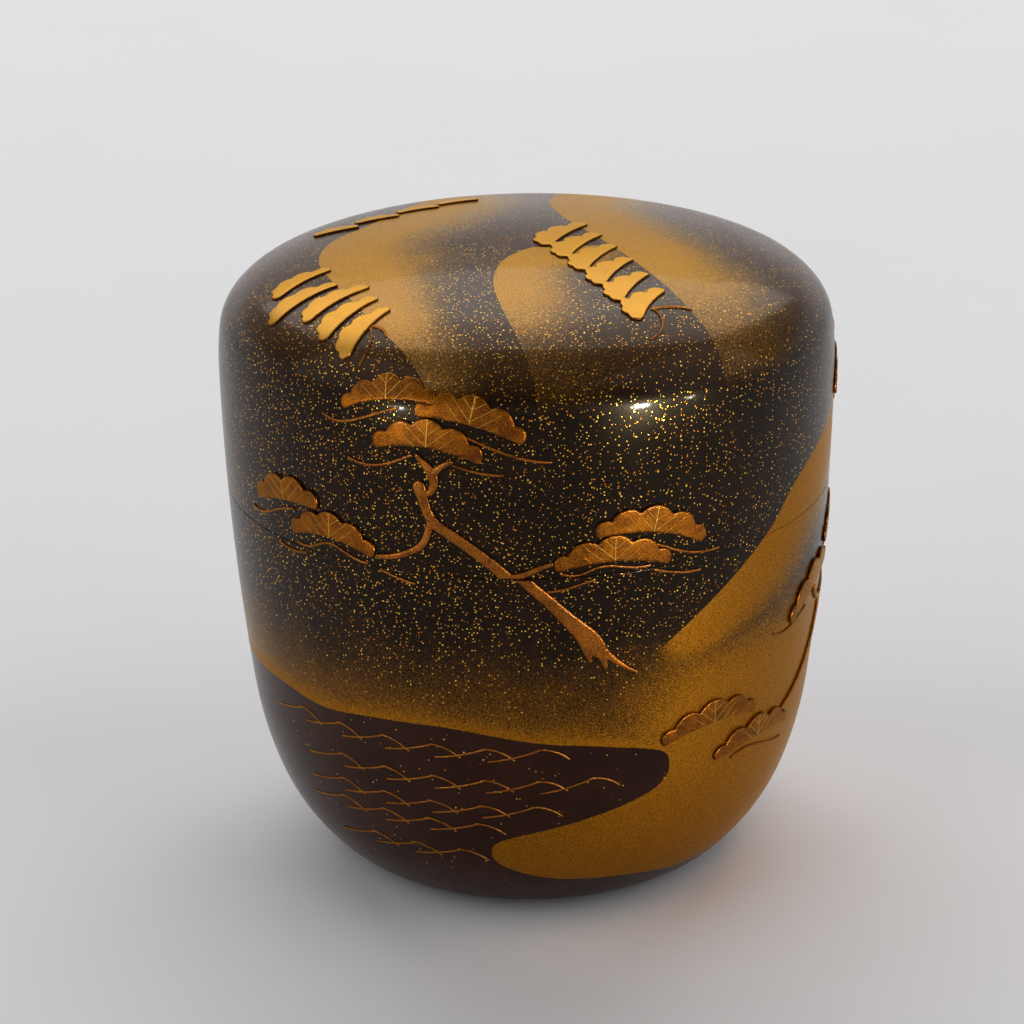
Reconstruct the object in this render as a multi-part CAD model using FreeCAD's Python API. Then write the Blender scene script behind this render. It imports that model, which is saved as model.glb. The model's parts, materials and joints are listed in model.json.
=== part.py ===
import FreeCAD, Part
import math
import os

# A lacquered tea caddy of the natsume shape: a turned wooden cup with an upstanding collar,
# and a domed lid that slips over the collar until both walls meet flush at the seam.
# Millimetres, +Z up, origin at the middle of the foot, front towards -Y.
# Decoration is placed by azimuth (degrees from the front, positive towards +X) and height.

os.makedirs("parts", exist_ok=True)
Vec = FreeCAD.Vector
UP = Vec(0, 0, 1)

# ---- driving dimensions ---------------------------------------------------------------
# The outside as tangent arcs from the crown to the foot. Each is the downward angle of
# the wall where the arc ends (90 is upright, 180 is flat again) and the arc's radius.
OUTSIDE = [
    (10, 132.8), (26, 20.7), (50, 8.9), (82, 5.6), (90, 30.5),
    (97, 296.3), (110, 41.5), (135, 23.1), (180, 7.9),
]
SEAM_Z = 43.0
LACQUER = 0.5
SKIN = 0.2
BODY_WALL = 3.9

COLLAR_RISE = 6.0
COLLAR_SEAT = 4.0
COLLAR_OUTER = 30.4
COLLAR_EDGE = 0.6

LID_BORE = 30.48
LID_CEILING = 3.0
# The arcs of the lid's ceiling; one more arc closes them onto the upright bore.
CEILING = [(10, 129.8), (26, 17.7), (50, 5.9)]
LINING_GAP = 0.03

RIM_CLOTH_WIDTH = 6.0
RIM_CLOTH = 0.2
SEAM_ROUND = 0.12

BASE_TOP = 0.5
HOLLOW_RADIUS = 15.0
HOLLOW_DEPTH = 0.6

RELIEF_GAP = 0.06
PAD_RELIEF = 0.35
TRUNK_RELIEF = 0.3
ROW_RELIEF = 0.25
TWIG_RELIEF = 0.14
WAVE_RELIEF = 0.08
TWIG = 0.28
WAVE_LINE = 0.24
SMALLEST_CHIP = 0.02


# ---- the turned profile ---------------------------------------------------------------
def chain_height(arcs):
    """How far a chain of arcs drops, from level at the axis."""
    drop, start = 0.0, 0.0
    for end, radius in arcs:
        drop += radius * (math.cos(math.radians(start)) - math.cos(math.radians(end)))
        start = end
    return drop


def chain_reach(arcs):
    """How far from the axis a chain of arcs ends."""
    reach, start = 0.0, 0.0
    for end, radius in arcs:
        reach += radius * (math.sin(math.radians(end)) - math.sin(math.radians(start)))
        start = end
    return reach


CROWN_Z = chain_height(OUTSIDE)
WIDEST = chain_reach(OUTSIDE[:5])


def chain_runs(arcs, top, offset):
    """Each arc moved outward by offset: its centre, radius and the angles it spans."""
    runs, start = [], 0.0
    centre_r, centre_z = 0.0, top - arcs[0][1]
    for index, (end, radius) in enumerate(arcs):
        runs.append((centre_r, centre_z, radius + offset, start, end))
        if index + 1 < len(arcs):
            shrink = radius - arcs[index + 1][1]
            centre_r += shrink * math.sin(math.radians(end))
            centre_z += shrink * math.cos(math.radians(end))
        start = end
    return runs


def turned(runs, low, high):
    """Spin the part of the profile between two heights about Z, closed along the axis."""
    edges, last = [], None
    for centre_r, centre_z, radius, start, end in runs:
        def height_at(angle):
            return centre_z + radius * math.cos(math.radians(angle))

        def angle_at(height):
            return math.degrees(math.acos((height - centre_z) / radius))

        first = start if height_at(start) <= high else angle_at(max(high, height_at(end)))
        final = end if height_at(end) >= low else angle_at(min(low, height_at(start)))
        if final - first < 1e-4:
            continue
        points = []
        for angle in (first, (first + final) / 2, final):
            r = centre_r + radius * math.sin(math.radians(angle))
            points.append(Vec(max(r, 0.0), 0, height_at(angle)))
        points[0] = last or points[0]
        edges.append(Part.Arc(*points).toShape())
        last = points[-1]
    corners = [last, Vec(last.x, 0, low), Vec(0, 0, low), Vec(0, 0, high)]
    corners.append(edges[0].valueAt(edges[0].FirstParameter))
    for a, b in zip(corners, corners[1:]):
        if a.distanceToPoint(b) > 1e-6:
            edges.append(Part.LineSegment(a, b).toShape())
    face = Part.Face(Part.Wire(edges))
    return face.revolve(Vec(0, 0, 0), UP, 360)


def outside(offset, low=None, high=None):
    """The outer form grown by offset, whole or between two heights."""
    runs = chain_runs(OUTSIDE, CROWN_Z, offset)
    low = -offset if low is None else low
    high = CROWN_Z + offset if high is None else high
    return turned(runs, low, high)


def lid_hollow(offset, low=SEAM_Z):
    """The space inside the lid, up to its ceiling, grown by offset."""
    steepest = CEILING[-1][0]
    closing = (LID_BORE - chain_reach(CEILING)) / (1 - math.sin(math.radians(steepest)))
    top = CROWN_Z - LID_CEILING
    return turned(chain_runs(CEILING + [(90, closing)], top, offset), low, top + offset)


def wall_radius(offset, height):
    """The outer form's radius at a height, grown by offset."""
    for centre_r, centre_z, radius, start, end in chain_runs(OUTSIDE, CROWN_Z, offset):
        if centre_z + radius * math.cos(math.radians(end)) <= height:
            return centre_r + math.sqrt(radius ** 2 - (height - centre_z) ** 2)
    return 0.0


def solid(shape):
    """The one solid that a cut or a fusion leaves."""
    whole, = shape.Solids
    return whole


def disc(radius, low, high):
    return Part.makeCylinder(radius, high - low, Vec(0, 0, low))


def ring(inner, outer, low, high):
    return disc(outer, low, high).cut(disc(inner, low, high))


def rounded_at(shape, height, radius, size):
    """Round off the circular edges of a radius that lie at a height."""
    edges = []
    for edge in shape.Edges:
        if edge.Degenerated or not isinstance(edge.Curve, Part.Circle):
            continue
        if abs(edge.Curve.Center.z - height) < 1e-4 and abs(edge.Curve.Radius - radius) < 1e-3:
            edges.append(edge)
    return shape.makeFillet(size, edges)


# ---- the caddy's body -----------------------------------------------------------------
SEAM_RADIUS = wall_radius(0, SEAM_Z)
COLLAR_INNER = wall_radius(-BODY_WALL, SEAM_Z)
COLLAR_TOP = SEAM_Z + COLLAR_RISE


def cavity(offset, high=SEAM_Z):
    """The tea's space inside the body, grown by offset."""
    return outside(offset - BODY_WALL, BODY_WALL - offset, high)


def rim_cloth(low, high):
    """A band of hemp cloth under the lacquer, which keeps the rim's wood from splitting."""
    return solid(outside(RIM_CLOTH - LACQUER, low, high).cut(outside(-LACQUER, low, high)))


def body_cloth():
    return rim_cloth(SEAM_Z - SKIN - RIM_CLOTH_WIDTH, SEAM_Z - SKIN)


def body_core():
    """The cup, turned from one block, with a rebate for the collar and a hollowed foot."""
    cup = outside(-LACQUER, BASE_TOP, SEAM_Z - SKIN).cut(cavity(SKIN))
    cup = cup.cut(disc(COLLAR_OUTER - SKIN, SEAM_Z - COLLAR_SEAT, SEAM_Z))
    return solid(cup.cut(disc(HOLLOW_RADIUS + BASE_TOP, 0, HOLLOW_DEPTH + BASE_TOP)))


def body_lacquer():
    """Ground coats and lacquer on the outside, carried over the rim up to the collar."""
    coat = outside(0, BASE_TOP, SEAM_Z).cut(outside(-LACQUER, BASE_TOP, SEAM_Z - SKIN))
    coat = coat.cut(disc(COLLAR_OUTER, SEAM_Z - 2 * SKIN, SEAM_Z))
    coat = rounded_at(solid(coat), SEAM_Z, SEAM_RADIUS, SEAM_ROUND)
    return solid(coat.cut(body_cloth()))


def body_lining():
    return solid(cavity(SKIN).cut(cavity(0)))


def base_lacquer():
    """The underside: a narrow flat rim to stand on, round a shallow hollow."""
    plate = outside(0, 0, BASE_TOP)
    plate = plate.fuse(disc(HOLLOW_RADIUS + BASE_TOP, 0, HOLLOW_DEPTH + BASE_TOP))
    return solid(plate.cut(disc(HOLLOW_RADIUS, 0, HOLLOW_DEPTH)).removeSplitter())


def collar():
    """The inner ring glued into the rebate; the lid slips over it."""
    top = COLLAR_TOP - SKIN
    tube = ring(COLLAR_INNER + SKIN, COLLAR_OUTER - SKIN, SEAM_Z - COLLAR_SEAT, top)
    for radius in (COLLAR_INNER + SKIN, COLLAR_OUTER - SKIN):
        tube = rounded_at(tube, top, radius, COLLAR_EDGE - SKIN)
    return solid(tube)


def collar_lacquer():
    tube = ring(COLLAR_INNER, COLLAR_OUTER, SEAM_Z, COLLAR_TOP)
    for radius in (COLLAR_INNER, COLLAR_OUTER):
        tube = rounded_at(tube, COLLAR_TOP, radius, COLLAR_EDGE)
    # the coat runs on down past the rim's own lacquer, to the wood of the rim
    tube = tube.fuse(ring(COLLAR_OUTER - SKIN, COLLAR_OUTER, SEAM_Z - SKIN, SEAM_Z))
    return solid(tube.cut(collar()).removeSplitter())


# ---- the lid --------------------------------------------------------------------------
def lid_cloth():
    return rim_cloth(SEAM_Z + SKIN, SEAM_Z + SKIN + RIM_CLOTH_WIDTH)


def lid_core():
    dome = outside(-LACQUER, SEAM_Z + SKIN)
    return solid(dome.cut(lid_hollow(SKIN + LINING_GAP)))


def lid_lacquer():
    coat = outside(0, SEAM_Z).cut(outside(-LACQUER, SEAM_Z + SKIN))
    coat = solid(coat.cut(disc(LID_BORE + SKIN + LINING_GAP, SEAM_Z, SEAM_Z + 2 * SKIN)))
    coat = rounded_at(coat, SEAM_Z, SEAM_RADIUS, SEAM_ROUND)
    return solid(coat.cut(lid_cloth()))


def lid_lining():
    """The lacquer inside the lid, which runs on the collar."""
    return solid(lid_hollow(SKIN).cut(lid_hollow(0)))


# ---- raised decoration ----------------------------------------------------------------
class Sheet:
    """A flat sheet to draw on; its drawings are thrown along one direction onto the wall."""

    def __init__(self, origin, right, up, throw):
        self.origin, self.right, self.up, self.throw = origin, right, up, throw

    def at(self, u, v):
        return self.origin + self.right * u + self.up * v

    def arc(self, start, middle, end):
        return Part.Arc(self.at(*start), self.at(*middle), self.at(*end)).toShape()

    def line(self, start, end):
        return Part.LineSegment(self.at(*start), self.at(*end)).toShape()

    def curve(self, points):
        """A smooth curve through points, or a straight line if there are only two."""
        if len(points) == 2:
            return self.line(*points)
        spline = Part.BSplineCurve()
        spline.interpolate([self.at(*point) for point in points])
        return spline.toShape()

    def prism(self, edges):
        return Part.Face(Part.Wire(edges)).extrude(self.throw)


def wall_sheet(azimuth):
    """A sheet facing the wall at an azimuth, with v as the height above the foot."""
    turn = math.radians(azimuth)
    outward = Vec(math.sin(turn), -math.cos(turn), 0)
    along = Vec(math.cos(turn), math.sin(turn), 0)
    return Sheet(outward * (WIDEST + 3), along, UP, outward * -(WIDEST / 2))


def crown_sheet():
    """A sheet above the crown, seen from above with the front at the bottom."""
    return Sheet(UP * (CROWN_Z + 2), Vec(1, 0, 0), Vec(0, 1, 0), UP * -(CROWN_Z - SEAM_Z) * 0.6)


def wall_u(azimuth, facing):
    """Where a point of the wall at an azimuth falls on the sheet facing another azimuth."""
    return WIDEST * math.sin(math.radians(azimuth - facing))


def pine_pad(sheet, place, length, height, tilt, arch=0.8, lobes=5, peak=0.5):
    """A pad of pine needles: scalloped round its top and ends, hollow along its lower edge.

    place is the middle of the lower edge's chord, tilt turns the pad anticlockwise, and
    peak is where along its length the pad is highest.
    """
    end_bulge, top_bulge, shoulder, chord = 0.42, 0.26, 0.84, 0.94
    turn = math.radians(tilt)

    def put(x, y):
        return (place[0] + x * math.cos(turn) - y * math.sin(turn),
                place[1] + x * math.sin(turn) + y * math.cos(turn))

    def valley(index):
        """The notch between two lobes, or an end of the lower edge: even steps of angle."""
        angle = math.pi * index / lobes
        lean = (peak - 0.5) * length * math.sin(angle)
        return (lean - length * chord / 2 * math.cos(angle), shoulder * height * math.sin(angle))

    edges = []
    for index in range(lobes):
        a, b = valley(index), valley(index + 1)
        bulge = end_bulge if index in (0, lobes - 1) else top_bulge
        middle = ((a[0] + b[0]) / 2 - (b[1] - a[1]) * bulge,
                  (a[1] + b[1]) / 2 + (b[0] - a[0]) * bulge)
        edges.append(sheet.arc(put(*a), put(*middle), put(*b)))
    first, last = valley(0), valley(lobes)
    edges.append(sheet.arc(put(*last), put(0.0, arch), put(*first)))
    return sheet.prism(edges)


def stroke(sheet, points):
    """A brush stroke through (u, v, width) points, with rounded ends."""
    left, right = [], []
    for index, (u, v, width) in enumerate(points):
        before = points[max(index - 1, 0)]
        after = points[min(index + 1, len(points) - 1)]
        du, dv = after[0] - before[0], after[1] - before[1]
        size = math.hypot(du, dv)
        nu, nv = -dv / size * width / 2, du / size * width / 2
        left.append((u + nu, v + nv))
        right.append((u - nu, v - nv))

    def cap(tip, inner, a, b):
        """The round end from one side of the stroke to the other."""
        du, dv = tip[0] - inner[0], tip[1] - inner[1]
        size = math.hypot(du, dv)
        reach = tip[2] / 2
        return sheet.arc(a, (tip[0] + du / size * reach, tip[1] + dv / size * reach), b)

    edges = [
        sheet.curve(left),
        cap(points[-1], points[-2], left[-1], right[-1]),
        sheet.curve(right[::-1]),
        cap(points[0], points[1], right[0], left[0]),
    ]
    return sheet.prism(edges)


def wall_pad(azimuth, height_z, length, height, tilt, **shape):
    return pine_pad(wall_sheet(azimuth), (0.0, height_z), length, height, tilt, **shape)


def wall_stroke(facing, points):
    """A stroke given as (azimuth, height above the foot, width) points."""
    drawn = [(wall_u(azimuth, facing), z, width) for azimuth, z, width in points]
    return stroke(wall_sheet(facing), drawn)


def twig(points, thickness=TWIG):
    """A thin stroke of one width through (azimuth, height) points."""
    facing = sum(azimuth for azimuth, z in points) / len(points)
    return wall_stroke(facing, [(azimuth, z, thickness) for azimuth, z in points])


def joined(prisms):
    whole = prisms[0]
    for prism in prisms[1:]:
        whole = whole.fuse(prism)
    return whole


relief_skins = {}


def relief_skin(side, thickness):
    """The thin layer on the outside that a raised motif fills, on the lid or the body."""
    key = (side, thickness)
    if key not in relief_skins:
        if side == "lid":
            low, high = SEAM_Z + RELIEF_GAP, CROWN_Z
        else:
            low, high = BASE_TOP + RELIEF_GAP, SEAM_Z - RELIEF_GAP
        top = high + thickness if side == "lid" else high
        relief_skins[key] = outside(thickness, low, top).cut(outside(0, low, high))
    return relief_skins[key]


def grouped(solids):
    return solids[0] if len(solids) == 1 else Part.makeCompound(solids)


def clear_of(shape, laid):
    """What is left of a motif where the motifs laid before it do not cover it."""
    for other in laid:
        if shape.BoundBox.intersect(other.BoundBox):
            shape = shape.cut(other)
    return [piece for piece in shape.Solids if piece.Volume > SMALLEST_CHIP]


def raised(side, thickness, prisms):
    """The motifs as raised solids on one side of the seam; an earlier one covers a later."""
    skin = relief_skin(side, thickness)
    solids = []
    for prism in prisms:
        solids += clear_of(skin.common(prism), solids)
    return grouped(solids)


# ---- the front pine -------------------------------------------------------------------
# azimuth, height of the lower edge, length, height, tilt, arch, lobes
LID_PADS = {
    "pine_pad_upper_left": (-24.8, 60.2, 10.4, 3.0, 9, 0.8, 5),
    "pine_pad_upper_right": (-10.2, 58.5, 11.4, 3.5, -13, 0.7, 5),
    "pine_pad_upper_middle": (-17.6, 55.6, 11.2, 4.0, -4, 1.0, 5),
    "pine_pad_left_high": (-48.6, 47.1, 10.2, 3.2, 8, 0.5, 4),
    "pine_pad_left_low": (-37.6, 44.1, 10.9, 3.8, -2, 1.0, 5),
    "pine_pad_right_high": (21.6, 46.0, 12.2, 3.8, -11, 1.0, 5),
    "pine_pad_right_low": (14.8, 43.5, 12.2, 3.6, -2, 0.9, 5),
    "back_pad_high": (102, 57.0, 11.0, 3.6, 0, 0.9, 5),
    "back_pad_left": (91, 53.0, 11.0, 3.4, 9, 0.8, 5),
    "back_pad_right": (114, 53.6, 11.4, 3.6, -7, 0.9, 5),
    "back_pad_low": (122, 46.0, 10.6, 3.4, -4, 0.8, 4),
}
BODY_PADS = {
    "shore_pad_left": (37.0, 22.4, 13.0, 3.5, 2, 1.1, 5),
    "shore_pad_right": (50.2, 18.5, 13.4, 3.1, 0, 0.9, 5),
    "side_pad_left": (70, 32.2, 13.2, 3.6, 14, 0.9, 5),
    "side_pad_right": (88, 36.6, 12.0, 3.4, 6, 0.9, 5),
    "back_pad_body": (122, 37.6, 11.6, 3.5, -5, 0.9, 5),
}


def pad_of(side, entry):
    azimuth, z, length, height, tilt, arch, lobes = entry
    pad = wall_pad(azimuth, z, length, height, tilt, arch=arch, lobes=lobes)
    return raised(side, PAD_RELIEF, [pad])


def front_trunk_upper():
    """The crooked stem on the lid: a cut stub, a fork above it and a branch each side."""
    facing = -11
    stem = wall_stroke(facing, [
        (-19.0, 52.4, 1.35), (-18.2, 50.8, 1.05), (-16.9, 49.0, 1.1), (-13.7, 47.6, 1.15),
        (-9.7, 46.0, 1.15), (-5.6, 44.1, 1.2), (-2.6, 42.4, 1.25),
    ])
    fork = wall_stroke(facing, [
        (-19.4, 55.8, 0.35), (-18.3, 55.1, 0.7), (-16.8, 54.1, 1.0), (-16.3, 53.0, 0.95),
        (-17.2, 51.8, 0.6),
    ])
    offshoot = wall_stroke(facing, [(-13.1, 55.3, 0.45), (-14.8, 54.8, 0.6), (-16.4, 53.8, 0.8)])
    left = wall_stroke(facing, [
        (-17.0, 48.9, 0.8), (-17.7, 47.6, 0.75), (-18.6, 46.4, 0.75), (-20.8, 45.4, 0.7),
        (-24.0, 44.6, 0.65), (-27.6, 44.3, 0.45),
    ])
    right = wall_stroke(facing, [
        (-5.0, 43.4, 0.9), (-1.6, 43.4, 0.65), (1.4, 44.1, 0.55), (3.8, 44.6, 0.45),
    ])
    return raised("lid", TRUNK_RELIEF, [joined([stem, fork, offshoot, left, right])])


def front_trunk_lower():
    """The stem on the body, widening to three roots."""
    facing = 6
    stem = wall_stroke(facing, [
        (-2.2, 43.6, 1.2), (0.4, 42.1, 1.2), (3.6, 40.3, 1.3), (7.0, 38.2, 1.6),
        (9.6, 36.6, 2.0), (11.8, 35.0, 1.9), (12.9, 33.9, 0.9),
    ])
    roots = [
        wall_stroke(facing, [(8.8, 36.6, 1.2), (9.7, 35.0, 0.8), (10.6, 33.6, 0.5)]),
        wall_stroke(facing, [(11.8, 35.0, 1.3), (12.8, 33.7, 0.8), (13.3, 32.8, 0.5)]),
        wall_stroke(facing, [
            (11.6, 35.6, 1.0), (13.6, 34.2, 0.8), (16.2, 32.8, 0.55), (19.2, 31.7, 0.3),
        ]),
    ]
    return raised("body", TRUNK_RELIEF, [joined([stem] + roots)])


def lid_twigs():
    """The thin twigs that show under the pads of the lid."""
    twigs = [
        twig([(-38.0, 58.4), (-34.4, 58.0), (-30.5, 58.6), (-26.6, 59.5), (-22.8, 60.3)]),
        twig([(-12.0, 58.3), (-8.4, 57.4), (-4.1, 56.4), (-0.8, 55.8), (3.8, 55.4)]),
        twig([(-32.6, 54.4), (-30.0, 54.0), (-27.0, 54.1), (-23.7, 54.7), (-20.4, 55.6)]),
        twig([(-12.6, 54.9), (-10.2, 54.5), (-7.6, 54.2), (-4.4, 54.1)]),
        twig([(-60.4, 45.0), (-56.3, 45.0), (-51.5, 46.1), (-46.7, 46.9)]),
        twig([(-45.8, 43.4), (-41.8, 43.6), (-38.0, 44.4), (-34.2, 43.8), (-30.0, 43.2)]),
        twig([(19.9, 46.2), (23.4, 45.4), (28.2, 44.2), (32.1, 43.7), (35.5, 43.7)]),
        twig([(5.4, 43.5), (8.8, 43.25), (12.2, 43.9), (17.7, 43.5), (21.4, 43.4)]),
        twig([(84, 51.4), (88, 51.6), (92, 52.4), (96, 53.2)]),
        twig([(108, 53.2), (113, 52.6), (118, 52.0), (122, 51.9)]),
        twig([(94, 56.2), (98, 56.3), (102, 56.9), (107, 56.3), (111, 56.2)]),
        twig([(115, 45.4), (119, 45.3), (123, 45.9), (128, 45.2), (131, 45.2)]),
    ]
    return raised("lid", TWIG_RELIEF, twigs)


def body_twigs():
    """The twigs that the seam cuts, and those of the pads by the shore."""
    twigs = [
        twig([(-51.4, 42.5), (-48.3, 42.2), (-44.1, 42.5)]),
        twig([(-27.0, 42.8), (-23.8, 42.2), (-20.7, 41.8)]),
        twig([(1.5, 41.6), (4.4, 41.6), (7.8, 42.0), (11.3, 42.6)]),
        twig([(22.5, 42.8), (25.2, 42.3), (28.2, 41.9), (31.6, 41.8)]),
        twig([(43.8, 18.0), (48.4, 18.4), (54.0, 17.6), (60.5, 16.8)]),
        twig([(53.0, 30.8), (57.0, 30.3), (61.0, 30.6), (66.0, 31.3)]),
        twig([(80.0, 35.4), (84.0, 35.4), (88.0, 36.2), (94.0, 36.0)]),
        twig([(114, 37.0), (118, 36.8), (122, 37.5), (128, 36.6), (131, 36.6)]),
    ]
    return raised("body", TWIG_RELIEF, twigs)


# ---- the second pine, round the side --------------------------------------------------
def back_trunk_upper():
    facing = 104
    stem = wall_stroke(facing, [
        (103.0, 42.4, 1.3), (103.6, 46.0, 1.2), (107.0, 49.6, 1.0), (111.5, 52.0, 0.8),
        (114.0, 54.2, 0.6),
    ])
    left = wall_stroke(facing, [
        (104.0, 47.0, 0.9), (99.5, 50.2, 0.7), (95.0, 51.8, 0.6), (91.6, 53.4, 0.4),
    ])
    middle = wall_stroke(facing, [(106.5, 49.4, 0.8), (104.5, 53.0, 0.6), (102.5, 57.4, 0.45)])
    right = wall_stroke(facing, [(103.2, 43.8, 0.8), (109.0, 44.6, 0.6), (116.5, 45.8, 0.45)])
    return raised("lid", TRUNK_RELIEF, [joined([stem, left, middle, right])])


def back_trunk_lower():
    facing = 104
    stem = wall_stroke(facing, [
        (120.5, 15.6, 2.0), (114.5, 20.0, 2.0), (108.5, 26.0, 1.7), (104.5, 34.0, 1.5),
        (103.0, 43.6, 1.3),
    ])
    parts = [
        stem,
        wall_stroke(facing, [(119.0, 16.6, 1.4), (115.0, 14.2, 0.8), (112.0, 12.6, 0.4)]),
        wall_stroke(facing, [(119.5, 16.2, 1.2), (125.5, 14.2, 0.7), (129.5, 13.2, 0.35)]),
        wall_stroke(facing, [
            (107.0, 28.0, 1.0), (98.0, 30.2, 0.8), (88.0, 30.6, 0.7), (79.0, 30.0, 0.6),
            (71.5, 32.6, 0.45),
        ]),
        wall_stroke(facing, [(94.0, 30.6, 0.7), (90.5, 33.4, 0.55), (88.4, 37.0, 0.45)]),
        wall_stroke(facing, [(104.6, 34.4, 0.9), (111.0, 36.6, 0.65), (119.0, 38.2, 0.45)]),
        wall_stroke(facing, [
            (80.0, 30.2, 0.5), (76.2, 26.6, 0.4), (70.5, 23.4, 0.35), (62.0, 20.6, 0.3),
        ]),
    ]
    return raised("body", TRUNK_RELIEF, [joined(parts)])


# ---- the distant pines ----------------------------------------------------------------
def crown_row_right():
    """Six pads running forward along the edge of the right-hand hill."""
    sheet = crown_sheet()
    pads = []
    for index in range(6):
        place = (4.9 + 1.62 * index, -0.6 - 3.75 * index)
        pads.append(pine_pad(sheet, place, 9.0 - 0.35 * index, 3.3, 63 + index,
                             arch=0.3, peak=0.3))
    return raised("lid", ROW_RELIEF, pads)


def crown_row_left():
    """Five pads along the edge of the left-hand hill: x, y, length, tilt."""
    sheet = crown_sheet()
    pads = []
    for x, y, length, tilt in [
        (-22.6, -9.2, 6.6, 38), (-22.2, -13.9, 7.4, 32), (-18.7, -16.0, 7.6, 38),
        (-17.2, -19.4, 7.2, 46), (-15.4, -22.4, 6.8, 54),
    ]:
        pads.append(pine_pad(sheet, (x, y), length, 3.1, tilt, arch=0.2, peak=0.3))
    return raised("lid", ROW_RELIEF, pads)


def crown_row_back():
    """Four small pads at the back of the crown."""
    sheet = crown_sheet()
    pads = []
    for index in range(4):
        place = (-20.4 + 4.4 * index, 7.4 + 3.1 * index)
        pads.append(pine_pad(sheet, place, 4.7, 2.4, 12 + 4 * index, arch=0.2, lobes=4))
    return raised("lid", ROW_RELIEF, pads)


def crown_twigs():
    """The branch and the hanging twig at the front end of each row."""
    sheet = crown_sheet()
    strokes = [
        [(12.6, -20.6, 0.3), (14.4, -19.6, 0.45), (16.6, -19.6, 0.25)],
        [(12.9, -20.7, 0.2), (13.6, -23.1, 0.2), (12.3, -25.7, 0.2)],
        [(-15.6, -22.0, 0.3), (-14.6, -22.6, 0.4), (-13.9, -24.2, 0.25)],
        [(-15.6, -22.3, 0.2), (-15.4, -24.5, 0.2), (-16.5, -26.4, 0.2)],
    ]
    return raised("lid", TWIG_RELIEF, [stroke(sheet, points) for points in strokes])


def far_pines():
    """A row of small pads on the far shore, round the back."""
    pads = []
    for index in range(6):
        pads.append(wall_pad(-112 - 8.2 * index, 27.0 - 0.55 * index, 4.0, 1.8, 16,
                             arch=0.2, lobes=4, peak=0.4))
    return raised("body", ROW_RELIEF, pads)


# ---- the waves ------------------------------------------------------------------------
# azimuth where a row starts, height, how many crests
FRONT_WAVES = [(-60, 22.0, 6), (-50, 18.2, 6), (-51, 15.0, 5), (-52, 12.6, 4), (-46, 8.8, 3)]
BACK_WAVES = [(-164, 20.8, 7), (-176, 17.4, 8), (-158, 14.2, 6), (-150, 11.2, 5)]


def wave_row(azimuth, z, crests):
    """A chain of crests: each rises gently, breaks, and falls onto the next one."""
    pitch, run, fall = 10.4, 10.6, 4.2
    rise, drop, crest = 1.5, 1.25, 1.2
    lines = []
    for index in range(crests):
        start = azimuth + pitch * index
        lines.append(twig([(start, z), (start + run / 2, z + rise * 0.45),
                           (start + run - crest, z + rise)], WAVE_LINE))
        lines.append(twig([(start + run - crest, z + rise), (start + run, z + rise - 0.05),
                           (start + run + fall, z + rise - drop)], WAVE_LINE))
    return joined(lines)


def waves(rows):
    return raised("body", WAVE_RELIEF, [wave_row(*row) for row in rows])


# ---- all the pieces -------------------------------------------------------------------
TURNED = {
    "body_core": body_core,
    "body_rim_cloth": body_cloth,
    "body_lacquer": body_lacquer,
    "body_lining": body_lining,
    "base_lacquer": base_lacquer,
    "collar": collar,
    "collar_lacquer": collar_lacquer,
    "lid_core": lid_core,
    "lid_rim_cloth": lid_cloth,
    "lid_lacquer": lid_lacquer,
    "lid_lining": lid_lining,
}
# After the pads, nearest first: each of these passes behind everything before it.
LID_MOTIFS = {
    "front_trunk_upper": front_trunk_upper,
    "back_trunk_upper": back_trunk_upper,
    "crown_row_right": crown_row_right,
    "crown_row_left": crown_row_left,
    "crown_row_back": crown_row_back,
    "lid_twigs": lid_twigs,
    "crown_twigs": crown_twigs,
}
BODY_MOTIFS = {
    "front_trunk_lower": front_trunk_lower,
    "back_trunk_lower": back_trunk_lower,
    "far_pines": far_pines,
    "body_twigs": body_twigs,
    "waves_front": lambda: waves(FRONT_WAVES),
    "waves_back": lambda: waves(BACK_WAVES),
}


def save(name, shape):
    shape.exportStep(f"parts/{name}.step")


def lay_motifs(side, pads, motifs):
    """Save one side's raised motifs, each cut back where it runs under an earlier one."""
    shapes = {name: pad_of(side, entry) for name, entry in pads.items()}
    shapes.update({name: make() for name, make in motifs.items()})
    laid = []
    for name, shape in shapes.items():
        kept = clear_of(shape, laid)
        laid += kept
        save(name, grouped(kept))


def main():
    for name, make in TURNED.items():
        save(name, make())
    lay_motifs("lid", LID_PADS, LID_MOTIFS)
    lay_motifs("body", BODY_PADS, BODY_MOTIFS)
    print(f"height {CROWN_Z:.2f} mm, widest {2 * WIDEST:.2f} mm, seam radius {SEAM_RADIUS:.2f} mm")


main()
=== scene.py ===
import json
import math

import bmesh
import bpy
import numpy as np
from mathutils import Matrix, Vector


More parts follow.
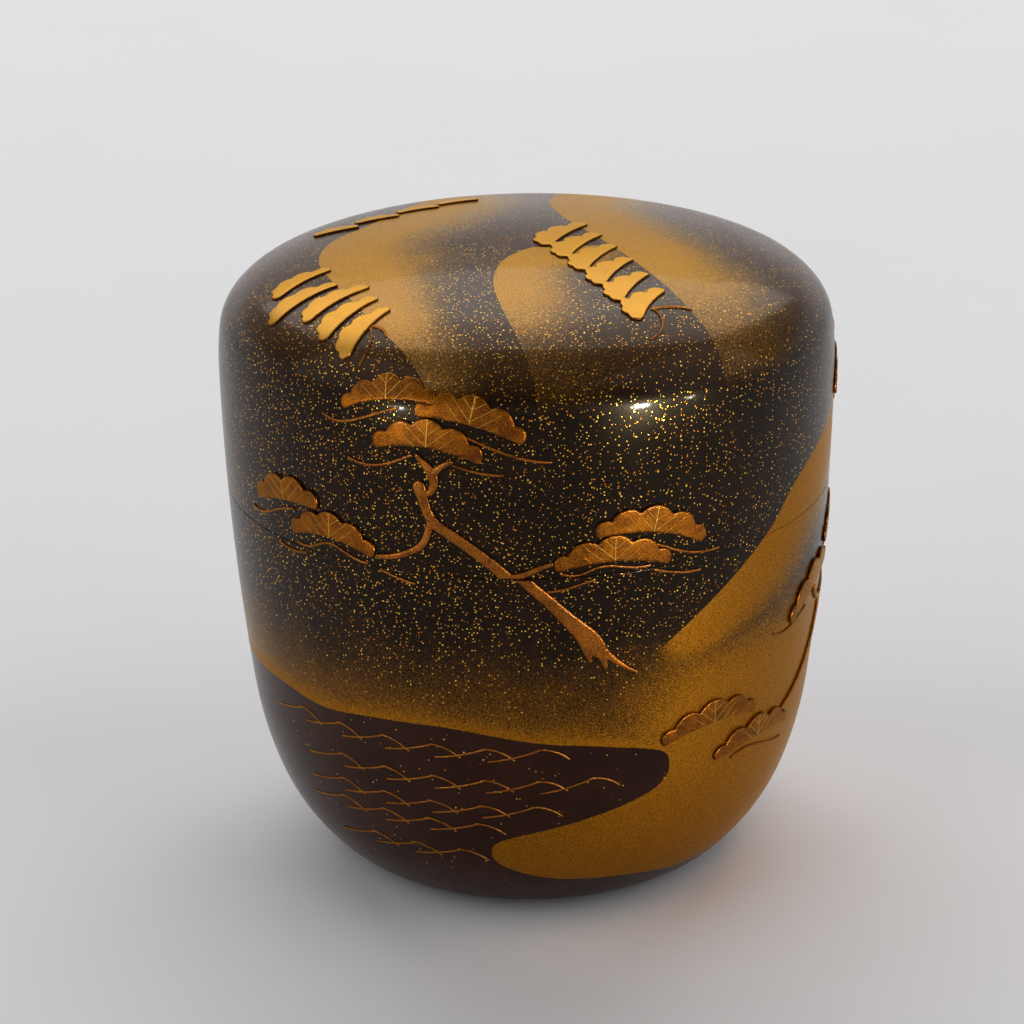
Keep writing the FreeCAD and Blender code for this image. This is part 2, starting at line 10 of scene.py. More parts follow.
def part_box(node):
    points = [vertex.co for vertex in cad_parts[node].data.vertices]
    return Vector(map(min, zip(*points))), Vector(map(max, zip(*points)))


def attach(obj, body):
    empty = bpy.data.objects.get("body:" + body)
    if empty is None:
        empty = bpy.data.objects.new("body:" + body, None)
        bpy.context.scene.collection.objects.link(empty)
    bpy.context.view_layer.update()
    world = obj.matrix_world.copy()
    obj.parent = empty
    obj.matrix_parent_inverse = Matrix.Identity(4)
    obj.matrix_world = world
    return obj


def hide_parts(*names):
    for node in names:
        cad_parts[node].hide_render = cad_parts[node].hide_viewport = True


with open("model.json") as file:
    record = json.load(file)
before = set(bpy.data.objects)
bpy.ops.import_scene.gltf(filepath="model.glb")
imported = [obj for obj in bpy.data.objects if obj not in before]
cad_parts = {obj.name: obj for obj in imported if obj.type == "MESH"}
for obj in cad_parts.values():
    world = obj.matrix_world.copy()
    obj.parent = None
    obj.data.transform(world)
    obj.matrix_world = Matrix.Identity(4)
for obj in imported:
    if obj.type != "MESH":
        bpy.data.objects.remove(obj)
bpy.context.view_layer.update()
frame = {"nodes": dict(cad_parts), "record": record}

# A lacquered tea caddy. Lengths on the caddy and the camera are in millimetres and are turned
# into metres by MM; the floor and the lamps are placed in metres.
MM = 0.001
NODES = frame["nodes"]


# ---- the turned profile, as in the CAD model ---------------------------------------------
# Arcs down the outside from the crown: (angle where the arc ends, its radius).
OUTSIDE = [
    (10, 132.8), (26, 20.7), (50, 8.9), (82, 5.6), (90, 30.5),
    (97, 296.3), (110, 41.5), (135, 23.1), (180, 7.9),
]
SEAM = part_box("lid_lacquer")[0].z / MM
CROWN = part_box("lid_lacquer")[1].z / MM
FOOT_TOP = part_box("body_core")[0].z / MM
SEAM_ROUND = 0.12
AROUND = 360
STEP = 0.3
WALLS, DIM, BACK_WALL = 0.70, 0.07, 0.20
WALL_TINT = (0.98, 0.98, 1.0, 1)
COAT_IOR = 1.38
GOLD_EDGE = (1.0, 0.78, 0.42)


def profile():
    """Points (r, z) down the outside from the crown to the foot, evenly spaced along it."""
    points, start = [], 0.0
    centre_r, centre_z = 0.0, CROWN - OUTSIDE[0][1]
    for index, (end, radius) in enumerate(OUTSIDE):
        count = max(4, round(math.radians(end - start) * radius / STEP))
        for k in range(count):
            angle = math.radians(start + (end - start) * k / count)
            points.append((centre_r + radius * math.sin(angle),
                           centre_z + radius * math.cos(angle)))
        if index + 1 < len(OUTSIDE):
            shrink = radius - OUTSIDE[index + 1][1]
            centre_r += shrink * math.sin(math.radians(end))
            centre_z += shrink * math.cos(math.radians(end))
        start = end
    points.append((centre_r, centre_z - OUTSIDE[-1][1]))
    return points


PROFILE = profile()
PROFILE_Z = np.array([z for r, z in PROFILE])[::-1]
PROFILE_R = np.array([r for r, z in PROFILE])[::-1]


def wall_radius(z):
    return np.interp(z, PROFILE_Z, PROFILE_R)


WIDEST = int(np.argmax([r for r, z in PROFILE]))
WIDEST_Z = PROFILE[WIDEST][1]


def crown_height(radius):
    upper = PROFILE[:WIDEST + 1]
    return np.interp(radius, [r for r, z in upper], [z for r, z in upper])


def between(low, high):
    """The part of the profile between two heights, with a point exactly at each end."""
    inside = [(r, z) for r, z in PROFILE if low + 1e-3 < z < high - 1e-3]
    if high < CROWN:
        inside.insert(0, (float(wall_radius(high)), high))
    else:
        inside.insert(0, (0.0, CROWN))
    inside.append((float(wall_radius(low)), low))
    return inside


def seam_round(radius, z, way):
    """The rounded arris at the seam: way is +1 for the lid's lower edge, -1 for the body's."""
    points = []
    for k in range(5):
        turn = math.pi / 2 * k / 4
        points.append((radius - SEAM_ROUND * (1 - math.cos(turn)),
                       z + way * SEAM_ROUND * (1 - math.sin(turn))))
    return points


def lathe(name, points, body):
    """Spin (r, z) points about the axis; a point on the axis becomes one vertex."""
    mesh = bpy.data.meshes.new(name)
    made = bmesh.new()
    rings = []
    for r, z in points:
        if r < 1e-6:
            rings.append([made.verts.new((0, 0, z * MM))])
            continue
        ring = []
        for k in range(AROUND):
            turn = 2 * math.pi * k / AROUND
            ring.append(made.verts.new((r * math.sin(turn) * MM, -r * math.cos(turn) * MM, z * MM)))
        rings.append(ring)
    for upper, lower in zip(rings, rings[1:]):
        for k in range(AROUND):
            after = (k + 1) % AROUND
            if len(upper) == 1:
                made.faces.new((upper[0], lower[k], lower[after]))
            elif len(lower) == 1:
                made.faces.new((upper[k], lower[0], upper[after]))
            else:
                made.faces.new((upper[k], lower[k], lower[after], upper[after]))
    for face in made.faces:
        face.smooth = True
    made.to_mesh(mesh)
    made.free()
    piece = bpy.data.objects.new(name, mesh)
    bpy.context.scene.collection.objects.link(piece)
    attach(piece, body)
    return piece


# ---- the painted landscape ------------------------------------------------------------------
# Edges of painted gold on the crown, seen from above: (x, y), front at the bottom.
CROWN_LEFT = [(-13, 17), (-16.8, 9.1), (-20.5, 4), (-21.8, -2), (-20.4, -9), (-15.5, -21),
              (-10.9, -28.8), (-9.6, -31.0)]
CROWN_MIDDLE = [(7, -4.2), (2.2, -5), (0.5, -5.2), (-2.3, -8.9), (-3.3, -14.9), (-2.1, -22.4),
                (-0.5, -27.9), (0.7, -31.5), (1.0, -33.0)]
CROWN_RIGHT = [(4, 24), (2.8, 16.2), (3.5, 10), (5.6, 3.3), (13.3, -12.5), (16.4, -19.5),
               (18.9, -24.2), (20.4, -27.4)]
# Edges on the wall: (azimuth, height above the foot).
WALL_HILL = [(150, 66), (122, 62), (98, 57.5), (81.5, 52.8), (58.7, 47.9), (48.4, 43.3),
             (31.7, 36.8), (17.8, 31.4)]
SHORE = [
    (-210, 24.4), (-180, 26.0), (-150, 24.6), (-120, 26.2), (-95, 24.4), (-70.8, 24.9), (-56.5, 25.2),
    (-43.7, 24.7), (-30.9, 25.4), (-15.2, 25.6), (1.5, 24.2), (12.8, 23.4), (24.9, 21.8), (27.4, 19.8),
    (26.0, 17.8), (20.5, 16.2), (8.8, 14.3), (-6.1, 12.0), (-8.9, 9.9), (-5.9, 7.9), (4.4, 6.0),
    (22.2, 5.0), (42.3, 3.6), (80, 3.0), (108, 5.5), (128, 10), (139, 17), (150, 24.4), (180, 26.0),
]
WALL_RADIUS = 33.0
WALL_SCALE = math.radians(1) * WALL_RADIUS


def smooth_curve(points, steps=10):
    """A Catmull-Rom curve through points, as many short segments."""
    p = np.array([points[0]] + list(points) + [points[-1]], float)
    t = np.linspace(0, 1, steps, endpoint=False)[:, None]
    runs = []
    for a, b, c, d in zip(p, p[1:], p[2:], p[3:]):
        runs.append(0.5 * (2 * b + (c - a) * t + (2 * a - 5 * b + 4 * c - d) * t ** 2
                           + (3 * b - a - 3 * c + d) * t ** 3))
    return np.vstack(runs + [p[-1:]])


def side_of(curve, where):
    """Distance of each place from the curve: positive to its left going along it."""
    best = np.full(len(where), 1e9)
    sign = np.ones(len(where))
    for a, b in zip(curve, curve[1:]):
        run = b - a
        t = np.clip(((where - a) @ run) / (run @ run), 0, 1)
        gap = where - (a + t[:, None] * run)
        far = np.hypot(gap[:, 0], gap[:, 1])
        nearer = far < best - 1e-9
        best = np.where(nearer, far, best)
        turned = run[0] * (where[:, 1] - a[1]) - run[1] * (where[:, 0] - a[0])
        sign = np.where(nearer, np.where(turned >= 0, 1.0, -1.0), sign)
    return best * sign


def ease(value, low, high):
    t = np.clip((value - low) / (high - low), 0, 1)
    return t * t * (3 - 2 * t)


def landscape(places):
    """For every vertex: signed distance into each painted area, and how thick its gold is."""
    x, y, z = places.T
    azimuth = np.degrees(np.arctan2(x, -y))
    plan = places[:, :2]
    top = ease(z, 58.5, 62.5)
    fields = {}

    def put(name, distance, wash):
        fields[name] = (distance, np.clip(wash, 0, 1))

    left = side_of(smooth_curve(CROWN_LEFT), plan)
    reach = 20 - 12 * ease(-y, 0, 28)
    put("crown_left", left, (1 - ease(left, 1, reach)) * (0.45 + 0.55 * (1 - ease(-y, 16, 31))) * top)
    middle = side_of(smooth_curve(CROWN_MIDDLE), plan)
    put("crown_middle", middle,
        (1 - ease(middle, 0.5, 13)) * (1 - 0.7 * ease(-y, 12, 31)) * (1 - ease(x, 6, 13)) * top)
    right = side_of(smooth_curve(CROWN_RIGHT), plan)
    put("crown_right", right,
        (1 - ease(right, 1, 17)) * (1 - 0.65 * ease(-y, 4, 26)) * top)
    wall = np.column_stack([azimuth * WALL_SCALE, z])
    hill_line = smooth_curve([(a * WALL_SCALE, h) for a, h in WALL_HILL])
    hill = side_of(hill_line, wall)
    put("wall_hill", hill,
        (1 - ease(hill, 0.5, 15)) * ease(z, 24, 36) * (1 - ease(azimuth, 88, 138)) * ease(azimuth, 17, 30))
    wrapped = np.where(azimuth > 150, azimuth - 360, azimuth)
    shore_line = smooth_curve([(a * WALL_SCALE, h) for a, h in SHORE])
    shore = side_of(shore_line, np.column_stack([wrapped * WALL_SCALE, z]))
    solid_gold = np.maximum(ease(azimuth, -8, 38) * (1 - ease(azimuth, 105, 150)),
                            (1 - ease(z, 20, 23)) * (1 - ease(azimuth, 40, 90)))
    band = 0.46 + 0.54 * np.exp(-np.clip(shore, 0, None) / 1.1)
    put("shore", shore, np.maximum(solid_gold, band) * (1 - 0.95 * ease(z, 24.5, 41)))
    return fields


def vertex_places(piece):
    """Every vertex of a piece, in millimetres."""
    places = np.empty(len(piece.data.vertices) * 3)
    piece.data.vertices.foreach_get("co", places)
    return places.reshape(-1, 3) / MM


def store(piece, name, values):
    attribute = piece.data.attributes.new(name, "FLOAT", "POINT")
    attribute.data.foreach_set("value", np.asarray(values, np.float32))


def paint(piece):
    """Keep the landscape on the vertices, where the material reads it."""
    places = vertex_places(piece)
    for name, (distance, wash) in landscape(places).items():
        store(piece, name, distance)
        store(piece, name + "_wash", wash)
    azimuth = np.degrees(np.arctan2(places[:, 0], -places[:, 1]))
    near_trunk = np.exp(-((azimuth + 22) / 55) ** 2)
    height = ease(places[:, 2], 27, 40)
    store(piece, "sprinkle", height * (0.45 + 0.55 * near_trunk))
    # A paler top: partly sprinkled dust, partly a painted sheen for the light reflected there.
    store(piece, "dome_dust_and_sheen", ease(places[:, 2], 60.5, 65.5))
    return piece


# ---- materials ------------------------------------------------------------------------------
def srgb(r, g, b):
    """A linear colour from 0-255 display values."""
    straight, curved = 12.92, 2.4
    parts = [((c / 255 + 0.055) / 1.055) ** curved if c > 10 else c / 255 / straight for c in (r, g, b)]
    return tuple(parts) + (1,)


class Nodes:
    """A material's node tree, with short ways to add what this scene uses."""

    def __init__(self, name):
        self.material = bpy.data.materials.new(name)
        self.material.use_nodes = True
        self.tree = self.material.node_tree
        self.shader = self.tree.nodes["Principled BSDF"]

    def add(self, kind, **values):
        node = self.tree.nodes.new(kind)
        for key, value in values.items():
            setattr(node, key, value)
        return node

    def link(self, source, target):
        self.tree.links.new(source, target)

    def feed(self, socket, value):
        if isinstance(value, bpy.types.NodeSocket):
            self.link(value, socket)
        else:
            socket.default_value = value

    def math(self, operation, a, b=0.0, clamp=False):
        node = self.add("ShaderNodeMath", operation=operation, use_clamp=clamp)
        self.feed(node.inputs[0], a)
        self.feed(node.inputs[1], b)
        return node.outputs[0]

    def ramp(self, value, low, high, start=0.0, end=1.0, smooth=True):
        node = self.add("ShaderNodeMapRange", interpolation_type="SMOOTHSTEP" if smooth else "LINEAR")
        for socket, given in zip(node.inputs, (value, low, high, start, end)):
            self.feed(socket, given)
        return node.outputs[0]

    def mix(self, factor, a, b):
        node = self.add("ShaderNodeMix", data_type="RGBA")
        self.feed(node.inputs[0], factor)
        self.feed(node.inputs[6], a)
        self.feed(node.inputs[7], b)
        return node.outputs[2]

    def attribute(self, name):
        return self.add("ShaderNodeAttribute", attribute_name=name).outputs["Fac"]

    def place(self):
        return self.add("ShaderNodeTexCoord").outputs["Object"]

    def noise(self, size_mm, detail=3.0, rough=0.55):
        node = self.add("ShaderNodeTexNoise")
        self.link(self.place(), node.inputs["Vector"])
        node.inputs["Scale"].default_value = 1 / (size_mm * MM)
        node.inputs["Detail"].default_value = detail
        node.inputs["Roughness"].default_value = rough
        return node.outputs[0]

    def cells(self, per_mm):
        """Voronoi cells of about 1 / per_mm across: (distance to the point, random colour)."""
        node = self.add("ShaderNodeTexVoronoi")
        self.link(self.place(), node.inputs["Vector"])
        node.inputs["Scale"].default_value = per_mm / MM
        return node.outputs["Distance"], node.outputs["Color"]

    def split(self, colour):
        node = self.add("ShaderNodeSeparateColor")
        self.link(colour, node.inputs[0])
        return node.outputs

    def bump(self, height, depth_mm, normal=None):
        node = self.add("ShaderNodeBump")
        self.link(height, node.inputs["Height"])
        node.inputs["Distance"].default_value = depth_mm * MM
        if normal is not None:
            self.link(normal, node.inputs["Normal"])
        return node.outputs[0]

    def finish(self, colour, roughness, normal=None, metallic=0.0, coat=0.0, coat_roughness=0.05,
               specular=0.5, edge=(1, 1, 1)):
        for name, value in (("Base Color", colour), ("Roughness", roughness), ("Metallic", metallic)):
            self.feed(self.shader.inputs[name], value)
        self.shader.inputs["Specular IOR Level"].default_value = specular
        self.shader.inputs["Specular Tint"].default_value = (*edge, 1)
        self.shader.inputs["Coat Weight"].default_value = coat
        self.shader.inputs["Coat IOR"].default_value = COAT_IOR
        self.shader.inputs["Coat Roughness"].default_value = coat_roughness
        if normal is not None:
            self.link(normal, self.shader.inputs["Normal"])
        return self.material


AREAS = ("crown_left", "crown_middle", "crown_right", "wall_hill", "shore")


def outer_lacquer():
    """Dark lacquer with sprinkled flakes, and gold dust that thickens towards each painted edge."""
    n = Nodes("outer_lacquer")
    dust = 0.0
    for area in AREAS:
        inside = n.ramp(n.attribute(area), -0.04, 0.08)
        dust = n.math("MAXIMUM", dust, n.math("MULTIPLY", inside, n.attribute(area + "_wash")))
    grain = n.noise(0.16, 2.0, 0.7)
    cloud = n.noise(5.0, 3.0)
    thick = n.math("ADD", dust, n.math("MULTIPLY", n.math("SUBTRACT", cloud, 0.5), 0.25))
    thick = n.math("MULTIPLY", thick, n.ramp(dust, 0.0, 0.08))
    speckle = n.math("MULTIPLY", n.math("SUBTRACT", grain, 0.5), 0.9)
    cover = n.ramp(n.math("ADD", thick, speckle), 0.12, 0.88)
    water = n.ramp(n.attribute("shore"), 0.05, -0.05)
    land = n.math("SUBTRACT", 1.0, water)

    base = n.mix(n.ramp(cloud, 0.3, 0.7), srgb(17, 9, 6), srgb(28, 15, 9))
    base = n.mix(water, base, n.mix(n.ramp(cloud, 0.3, 0.7), srgb(42, 18, 13), srgb(52, 25, 18)))
    powder_far, powder_tint = n.cells(5.6)
    powder = n.math("MULTIPLY", n.ramp(powder_far, 0.34, 0.22),
                    n.ramp(n.split(powder_tint)[0], 0.05, 0.5))
    powder = n.math("MULTIPLY", powder, n.math("MULTIPLY", n.attribute("sprinkle"), land))
    base = n.mix(n.math("MULTIPLY", powder, 0.42), base, srgb(92, 54, 20))
    gold = n.mix(n.ramp(grain, 0.3, 0.75), srgb(112, 64, 2), srgb(172, 112, 16))
    # On the top the gold pales and a pale brown haze covers the lacquer: partly sprinkled dust, partly a
    # painted sheen standing in for reflected light.
    pale_gold_and_sheen = n.mix(n.ramp(grain, 0.3, 0.75), srgb(140, 96, 44), srgb(186, 140, 74))
    dome_dust_and_sheen = n.attribute("dome_dust_and_sheen")
    gold = n.mix(dome_dust_and_sheen, gold, pale_gold_and_sheen)
    base = n.mix(n.math("MULTIPLY", dome_dust_and_sheen, n.ramp(grain, 0.25, 0.75, 0.15, 0.6)), base, srgb(104, 72, 44))
    colour = n.mix(cover, base, gold)

    flake_far, flake_tint = n.cells(3.0)
    pick = n.split(flake_tint)
    wanted = n.math("ADD", n.math("MULTIPLY", n.attribute("sprinkle"), 0.85), 0.12)
    wanted = n.math("MULTIPLY", wanted, land)
    wanted = n.math("ADD", wanted, n.math("MULTIPLY", water, 0.05))
    chosen = n.math("GREATER_THAN", wanted, pick[0])
    size = n.ramp(pick[1], 0.0, 1.0, 0.15, 0.27, smooth=False)
    flake = n.math("MULTIPLY", n.math("LESS_THAN", flake_far, size), chosen)
    flake = n.math("MULTIPLY", flake, n.ramp(cover, 0.75, 0.45))
    tint = n.mix(n.ramp(pick[2], 0.2, 0.8), srgb(214, 124, 18), srgb(255, 204, 78))
    colour = n.mix(flake, colour, tint)

    metal = n.math("MAXIMUM", n.math("MULTIPLY", cover, 0.8), n.math("MULTIPLY", flake, 0.6))
    bare = n.math("ADD", 0.22, n.math("MULTIPLY", cloud, 0.1))
    rough = n.math("MAXIMUM", n.math("MULTIPLY", cover, 0.42), bare)
    height = n.math("ADD", n.math("MULTIPLY", grain, n.math("ADD", n.math("MULTIPLY", cover, 0.4), 0.5)),
                    n.math("MULTIPLY", n.noise(9.0, 2.0), 0.4))
    return n.finish(colour, rough, n.bump(height, 0.018), metal, coat=0.17, coat_roughness=0.08,
                    specular=0.08, edge=GOLD_EDGE)


def raised_gold(name, deep, bright, needles):
    """Gold dust over raised lacquer, darkened towards its foot by painted shade, with drawn needles on the
    pads.
    """
    n = Nodes(name)
    lift = n.attribute("lift")
    grain = n.noise(0.14, 3.0, 0.7)
    cloud = n.noise(1.6, 3.0)
    shade = n.math("ADD", n.math("MULTIPLY", grain, 0.7), n.math("MULTIPLY", cloud, 0.3))
    colour = n.mix(n.ramp(shade, 0.4, 0.6), srgb(*deep), srgb(*bright))
    height = n.math("MULTIPLY", grain, 0.5)
    if needles:
        along, up = n.attribute("pad_along"), n.attribute("pad_up")
        away = n.math("ABSOLUTE", along)
        row = n.math("DIVIDE", n.math("SUBTRACT", up, n.math("MULTIPLY", away, 0.84)), 1.15)
        stripe = n.math("PINGPONG", row, 0.5)
        veins = n.math("MULTIPLY", n.ramp(stripe, 0.075, 0.02), n.ramp(away, 3.4, 1.6))
        line = n.math("MAXIMUM", veins, n.ramp(away, 0.09, 0.03))
        line = n.math("MULTIPLY", line, n.ramp(lift, 0.7, 0.95))
        colour = n.mix(n.math("MULTIPLY", line, 0.5), colour, srgb(236, 176, 70))
        height = n.math("ADD", height, n.math("MULTIPLY", line, 2.0))
    # Painted shade: the colour darkens to deep brown where the raised form sinks into the lacquer, as in
    # the crease at its foot.
    foot_shade = n.ramp(lift, 0.75, 0.1)
    colour = n.mix(n.math("MULTIPLY", foot_shade, 0.75), colour, srgb(70, 28, 8))
    rough = n.math("ADD", 0.27, n.math("MULTIPLY", grain, 0.16))
    return n.finish(colour, rough, n.bump(height, 0.04), metallic=0.85, coat=0.12, coat_roughness=0.15,
                    edge=GOLD_EDGE)


def inner_lacquer():
    n = Nodes("inner_lacquer")
    cloud = n.noise(4.0, 3.0)
    colour = n.mix(n.ramp(cloud, 0.3, 0.7), srgb(18, 11, 9), srgb(30, 17, 12))
    far, tint = n.cells(1.4)
    pick = n.split(tint)
    fleck = n.math("MULTIPLY", n.math("LESS_THAN", far, 0.14), n.math("GREATER_THAN", 0.1, pick[0]))
    colour = n.mix(n.math("MULTIPLY", fleck, 0.6), colour, srgb(150, 96, 34))
    rough = n.ramp(n.noise(2.0, 4.0), 0.3, 0.7, 0.14, 0.24)
    return n.finish(colour, rough, n.bump(n.noise(6.0, 2.0), 0.01), coat=0.3, coat_roughness=0.06,
                    specular=0.2)


def turned_wood():
    n = Nodes("turned_wood")
    wave = n.add("ShaderNodeTexWave", wave_type="RINGS", rings_direction="Y")
    n.link(n.place(), wave.inputs["Vector"])
    wave.inputs["Scale"].default_value = 180
    wave.inputs["Distortion"].default_value = 5
    wave.inputs["Detail"].default_value = 3
    wave.inputs["Detail Scale"].default_value = 2
    grain = wave.outputs["Fac"]
    colour = n.mix(grain, srgb(150, 108, 66), srgb(196, 154, 104))
    return n.finish(colour, n.ramp(grain, 0, 1, 0.6, 0.75), n.bump(grain, 0.03))


def hemp_cloth():
    n = Nodes("hemp_cloth")
    weave = n.noise(0.5, 4.0)
    colour = n.mix(weave, srgb(132, 112, 78), srgb(172, 150, 112))
    return n.finish(colour, n.ramp(weave, 0.3, 0.7, 0.75, 0.9), n.bump(weave, 0.05))


def floor_paper_and_glow():
    n = Nodes("floor")
    cloud = n.noise(60.0, 3.0)
    colour = n.mix(cloud, srgb(238, 237, 238), srgb(243, 242, 243))
    # Painted light: past 0.8 m from the middle the floor glows, brighter outward, standing in for pale lit
    # walls round the set.
    away = n.add("ShaderNodeVectorMath", operation="LENGTH")
    n.link(n.place(), away.inputs[0])
    n.feed(n.shader.inputs["Emission Color"], WALL_TINT)
    n.feed(n.shader.inputs["Emission Strength"], n.ramp(away.outputs["Value"], 0.8, 1.9, 0.0, 0.6 * WALLS))
    return n.finish(colour, n.ramp(cloud, 0.3, 0.7, 0.75, 0.85), n.bump(n.noise(1.0, 2.0), 0.01),
                    specular=0.0)


def wear(piece, material):
    piece.data.materials.clear()
    piece.data.materials.append(material)


# ---- the lacquer skins, which carry the landscape ------------------------------------------
def lid_skin():
    outer = between(SEAM + SEAM_ROUND, CROWN)
    edge = seam_round(outer[-1][0], SEAM, 1)[1:]
    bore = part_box("lid_lining")[1].x / MM
    lip = [(bore, SEAM), (bore, SEAM + 0.4)]
    return lathe("lid_skin", outer + edge + lip, "lid")


def body_skin():
    seam_r = float(wall_radius(SEAM - SEAM_ROUND))
    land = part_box("collar_lacquer")[1].x / MM
    edge = [(land, SEAM - 0.4), (land, SEAM)] + seam_round(seam_r, SEAM, -1)[::-1]
    wall = between(FOOT_TOP, SEAM - SEAM_ROUND)[1:]
    return lathe("body_skin", edge + wall, "cup")


# ---- raised motifs --------------------------------------------------------------------------
VOXEL = 0.11
SOFTEN = 6
THIN_VOXEL = 0.6 * VOXEL
THIN_SOFTEN = 2


def height_above_lacquer(places):
    """How far each place stands out of the turned surface, measured square to it."""
    radial, z = np.hypot(places[:, 0], places[:, 1]), places[:, 2]
    outward = radial - wall_radius(np.clip(z, 0.6, CROWN))
    upward = z - crown_height(radial)
    square = np.sign(upward) * np.abs(outward * upward) / np.maximum(np.hypot(outward, upward), 1e-6)
    return np.where(z > WIDEST_Z, square, outward)


def moulded(node, body, voxel, soften):
    """A CAD motif as a soft raised form: its sharp edges melt as thick lacquer's do."""
    mesh = NODES[node].data.copy()
    piece = bpy.data.objects.new(node + "_moulded", mesh)
    bpy.context.scene.collection.objects.link(piece)
    remesh = piece.modifiers.new("even", "REMESH")
    remesh.mode = "VOXEL"
    remesh.voxel_size = voxel * MM
    smooth = piece.modifiers.new("melt", "SMOOTH")
    smooth.factor = 0.5
    smooth.iterations = soften
    evaluated = piece.evaluated_get(bpy.context.evaluated_depsgraph_get())
    finished = bpy.data.meshes.new_from_object(evaluated)
    piece.modifiers.clear()
    piece.data = finished
    for polygon in finished.polygons:
        polygon.use_smooth = True
    places = vertex_places(piece)
    lift = height_above_lacquer(places)
    store(piece, "lift", np.clip(lift / max(np.percentile(lift, 92), 1e-3), 0, 1))
    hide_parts(node)
    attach(piece, body)
    return piece


def draw_needles(piece):
    """Keep each vertex's place along and above the pad's lower edge, for the needle lines."""
    places = vertex_places(piece)
    azimuth = np.arctan2(places[:, 0], -places[:, 1])
    middle = azimuth.mean()
    flat = np.column_stack([(azimuth - middle) * WALL_RADIUS, places[:, 2] - places[:, 2].mean()])
    lengthwise = np.linalg.svd(flat - flat.mean(0), full_matrices=False)[2][0]
    lengthwise *= np.sign(lengthwise[0])
    across = np.array([-lengthwise[1], lengthwise[0]])
    along, up = flat @ lengthwise, flat @ across
    store(piece, "pad_along", along - (along.min() + along.max()) / 2)
    store(piece, "pad_up", up - up.min())


# ---- the set --------------------------------------------------------------------------------
def stage_light(name, place, aim, size, power, shine_only=False):
    lamp = bpy.data.lights.new(name, "AREA")
    lamp.shape = "RECTANGLE"
    lamp.size, lamp.size_y = size
    lamp.energy = power
    holder = bpy.data.objects.new(name, lamp)
    holder.location = place
    holder.rotation_euler = (Vector(aim) - Vector(place)).to_track_quat("-Z", "Y").to_euler()
    holder.visible_diffuse = not shine_only
    holder.visible_camera = False
    bpy.context.scene.collection.objects.link(holder)


def floor():
    made = bmesh.new()
    half, across = 2.5, 40
    rows = [[made.verts.new((half * (2 * i / across - 1), half * (2 * j / across - 1), 0))
             for i in range(across + 1)] for j in range(across + 1)]
    for low, high in zip(rows, rows[1:]):
        for i in range(across):
            made.faces.new((low[i], low[i + 1], high[i + 1], high[i]))
    mesh = bpy.data.meshes.new("floor")
    made.to_mesh(mesh)
    made.free()
    piece = bpy.data.objects.new("floor", mesh)
    bpy.context.scene.collection.objects.link(piece)
    wear(piece, floor_paper_and_glow())


def surroundings():
    """A studio with pale walls all round, palest behind the caddy, and a dim ceiling."""
    world = bpy.data.worlds.new("studio")
    world.use_nodes = True
    tree = world.node_tree
    background = tree.nodes["Background"]
    where = tree.nodes.new("ShaderNodeTexCoord")
    parts = tree.nodes.new("ShaderNodeSeparateXYZ")
    tree.links.new(where.outputs["Generated"], parts.inputs[0])

    def band(axis, low, high, start, end):
        node = tree.nodes.new("ShaderNodeMapRange")
        node.interpolation_type = "SMOOTHSTEP"
        tree.links.new(parts.outputs[axis], node.inputs[0])
        for socket, value in zip(node.inputs[1:5], (low, high, start, end)):
            socket.default_value = value
        return node.outputs[0]

    both = tree.nodes.new("ShaderNodeMath")
    both.operation = "ADD"
    tree.links.new(band("Z", 0.12, 0.4, WALLS, DIM), both.inputs[0])
    tree.links.new(band("Y", 0.2, 0.85, 0.0, BACK_WALL), both.inputs[1])
    tree.links.new(both.outputs[0], background.inputs["Strength"])
    background.inputs["Color"].default_value = WALL_TINT
    bpy.context.scene.world = world


def lights():
    middle = (0, 0, 0.035)
    stage_light("back_softbox", (0.0, 0.85, 1.0), (0, 0.05, 0), (1.7, 1.0), 11.0)
    stage_light("fill_left", (-0.75, -0.25, 0.65), middle, (0.9, 0.9), 2.7)
    stage_light("fill_right", (0.75, -0.25, 0.65), middle, (0.9, 0.9), 2.7)
    stage_light("window_right", (0.40, -0.48, 0.045), middle, (0.06, 0.05), 3.4, shine_only=True)
    stage_light("window_far_right", (0.52, -0.32, 0.035), middle, (0.03, 0.03), 0.4, shine_only=True)
    stage_light("window_left", (-0.44, -0.44, 0.035), middle, (0.03, 0.03), 0.8, shine_only=True)
    surroundings()


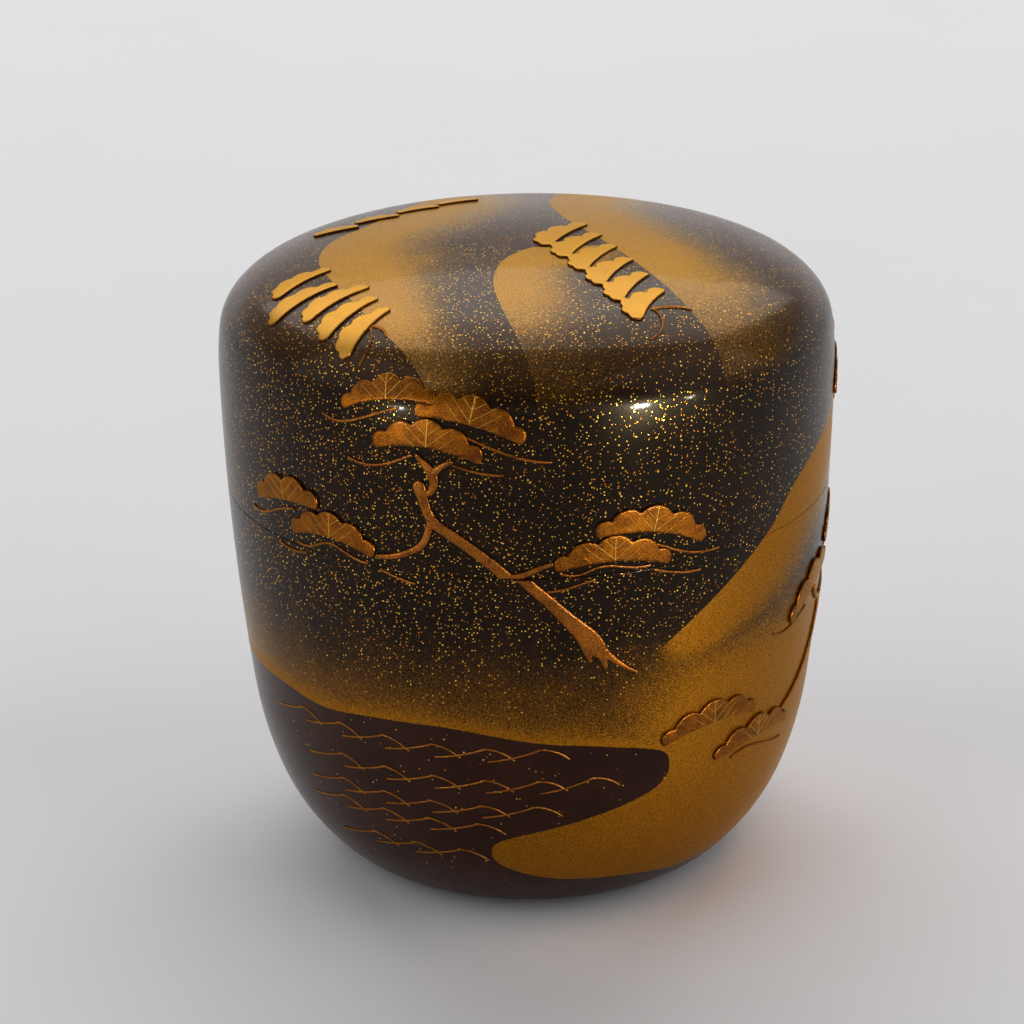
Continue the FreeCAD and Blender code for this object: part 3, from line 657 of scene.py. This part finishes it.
def camera():
    distance, elevation, roll = 330.0, math.radians(20.40), math.radians(0.946)
    eye = Vector((0, -distance * math.cos(elevation), SEAM + distance * math.sin(elevation)))
    up = Vector((0, math.sin(elevation), math.cos(elevation)))
    aim = Vector((0, 0, SEAM)) - up * 5.21 + Vector((-1.83, 0, 0))
    lens = bpy.data.cameras.new("camera")
    lens.lens = 106.2
    lens.clip_start = 0.01
    holder = bpy.data.objects.new("camera", lens)
    turn = (aim - eye).to_track_quat("-Z", "Y").to_matrix().to_4x4()
    holder.matrix_world = Matrix.Translation(eye * MM) @ turn @ Matrix.Rotation(-roll, 4, "Z")
    bpy.context.scene.collection.objects.link(holder)
    bpy.context.scene.camera = holder
    bpy.context.scene.view_settings.view_transform = "Standard"


# ---- put together ---------------------------------------------------------------------------
def main():
    lacquer, lining = outer_lacquer(), inner_lacquer()
    pads = raised_gold("gold_pads", (76, 36, 1), (146, 82, 4), needles=True)
    bark = raised_gold("gold_bark", (84, 42, 8), (156, 90, 24), needles=False)
    lines = raised_gold("gold_line", (112, 62, 16), (160, 98, 28), needles=False)
    wood, cloth = turned_wood(), hemp_cloth()
    plain = {"turned_wood": wood, "hemp_cloth": cloth, "outer_lacquer": lacquer, "inner_lacquer": lining,
             "gold_pads": pads, "gold_bark": bark, "gold_line": lines}
    slots = {entry["node"]: entry["material_slot"] for entry in frame["record"]["subparts"]}
    bodies = frame["record"]["behaviour"]["bodies"]
    body_of = {node: body for body, nodes in bodies.items() for node in nodes}
    for node, slot in slots.items():
        wear(NODES[node], plain[slot])
    for make, node in ((lid_skin, "lid_lacquer"), (body_skin, "body_lacquer")):
        skin = paint(make())
        wear(skin, lacquer)
        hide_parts(node)
    for node, slot in slots.items():
        if not slot.startswith("gold"):
            continue
        thin = slot == "gold_line" or "twigs" in node
        voxel, soften = (THIN_VOXEL, THIN_SOFTEN) if thin else (VOXEL, SOFTEN)
        piece = moulded(node, body_of[node], voxel, soften)
        if "pad" in node:
            draw_needles(piece)
        wear(piece, plain[slot])
    floor()
    lights()
    camera()


main()
